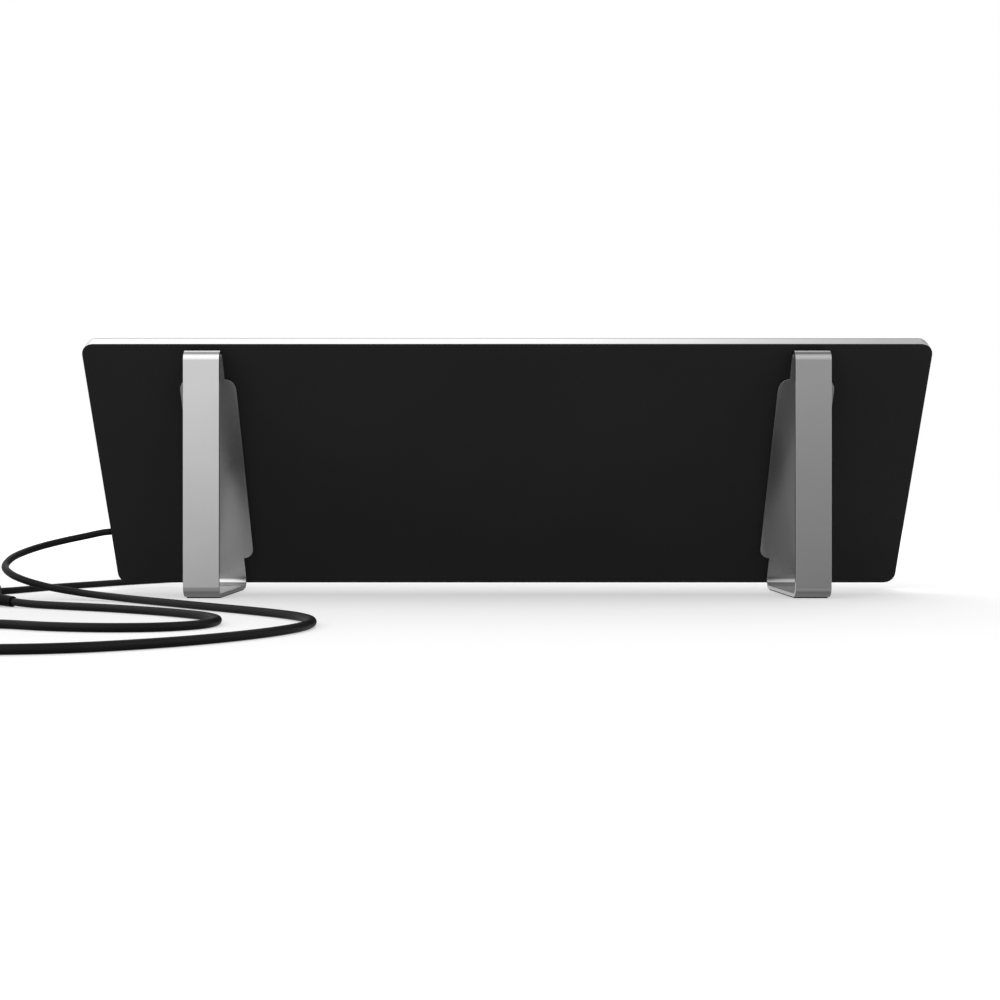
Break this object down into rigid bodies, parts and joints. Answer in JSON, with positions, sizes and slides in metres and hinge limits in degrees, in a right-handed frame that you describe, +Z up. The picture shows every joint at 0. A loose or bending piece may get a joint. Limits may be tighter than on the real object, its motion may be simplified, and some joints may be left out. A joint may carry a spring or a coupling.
{
  "type": "infrared heater",
  "caption": "Thin rectangular infrared panel heater leaning back on bent strap legs, with a black back cover, a bright edge, and a dark power cord with an in-line rocker switch and a plug.",
  "frame": {"origin": "centre of the heater's footprint on the floor, under the pads, measured without the cord, the switch and the plug", "axes": "+X along the panel's long side, away from the end where the cord leaves; +Y towards the side that the heating face looks to; +Z up"},
  "size_m": [0.7203, 0.6278, 0.1837],
  "materials": {
    "glass_face": "gloss, opaque white backing",
    "frame_metal": "satin",
    "leg_metal": "satin",
    "cover_metal": "matt black",
    "seal": "matt",
    "carrier": "matt",
    "track": "satin, copper coloured conductor",
    "foil": "bright",
    "board": "matt, mineral fibre",
    "screw_steel": "plain",
    "dark_plastic": "matt",
    "block_ceramic": "matt",
    "switch_plastic": "satin",
    "plug_plastic": "satin",
    "contact_brass": "bright",
    "pin_brass": "nickel plated",
    "rubber": "matt",
    "cord_sheath": "satin",
    "brown_wire": "satin",
    "blue_wire": "satin"
  },
  "bodies": {
    "heater": {"back_cover": "cover_metal", "clamp_screw_1": "screw_steel", "clamp_screw_2": "screw_steel", "coil_tie": "rubber", "contact_leaf": "contact_brass", "cord_clamp": "dark_plastic", "cord_coil": "cord_sheath", "cord_grommet": "rubber", "cord_sheath_end": "cord_sheath", "cover_screw_1": "screw_steel", "cover_screw_2": "screw_steel", "cover_screw_3": "screw_steel", "cover_screw_4": "screw_steel", "element_carrier": "carrier", "fixed_contact": "contact_brass", "front_glass": "glass_face", "glass_seal": "seal", "heating_track": "track", "insulation_board": "board", "lead_to_coil": "cord_sheath", "lead_to_switch": "cord_sheath", "left_doubler": "screw_steel", "left_foot_pad": "rubber", "left_leg_strap": "leg_metal", "left_lower_nut": "screw_steel", "left_upper_nut": "screw_steel", "link_wire": "brown_wire", "live_core": "brown_wire", "live_wire": "brown_wire", "neutral_core": "blue_wire", "neutral_wire": "blue_wire", "panel_frame": "frame_metal", "plug_body": "plug_plastic", "plug_pin_1": "pin_brass", "plug_pin_2": "pin_brass", "plug_sleeve": "rubber", "plug_tail": "cord_sheath", "reflector_foil": "foil", "right_doubler": "screw_steel", "right_foot_pad": "rubber", "right_leg_strap": "leg_metal", "right_lower_nut": "screw_steel", "right_upper_nut": "screw_steel", "switch_base": "switch_plastic", "switch_cover": "switch_plastic", "switch_screw_1": "screw_steel", "switch_screw_2": "screw_steel", "switch_sleeve_1": "rubber", "switch_sleeve_2": "rubber", "terminal_block": "block_ceramic", "thermal_cutout": "dark_plastic", "through_conductor": "contact_brass"},
    "rocker": {"switch_rocker": "switch_plastic"}
  },
  "joints": [
    {"name": "rocker_tilt", "type": "hinge", "parent": "heater", "child": "rocker", "pos_m": [-0.35724, -0.11278, 0.01], "axis": [0.4909, 0.8712, 0], "range_deg": [0, 16]}
  ]
}
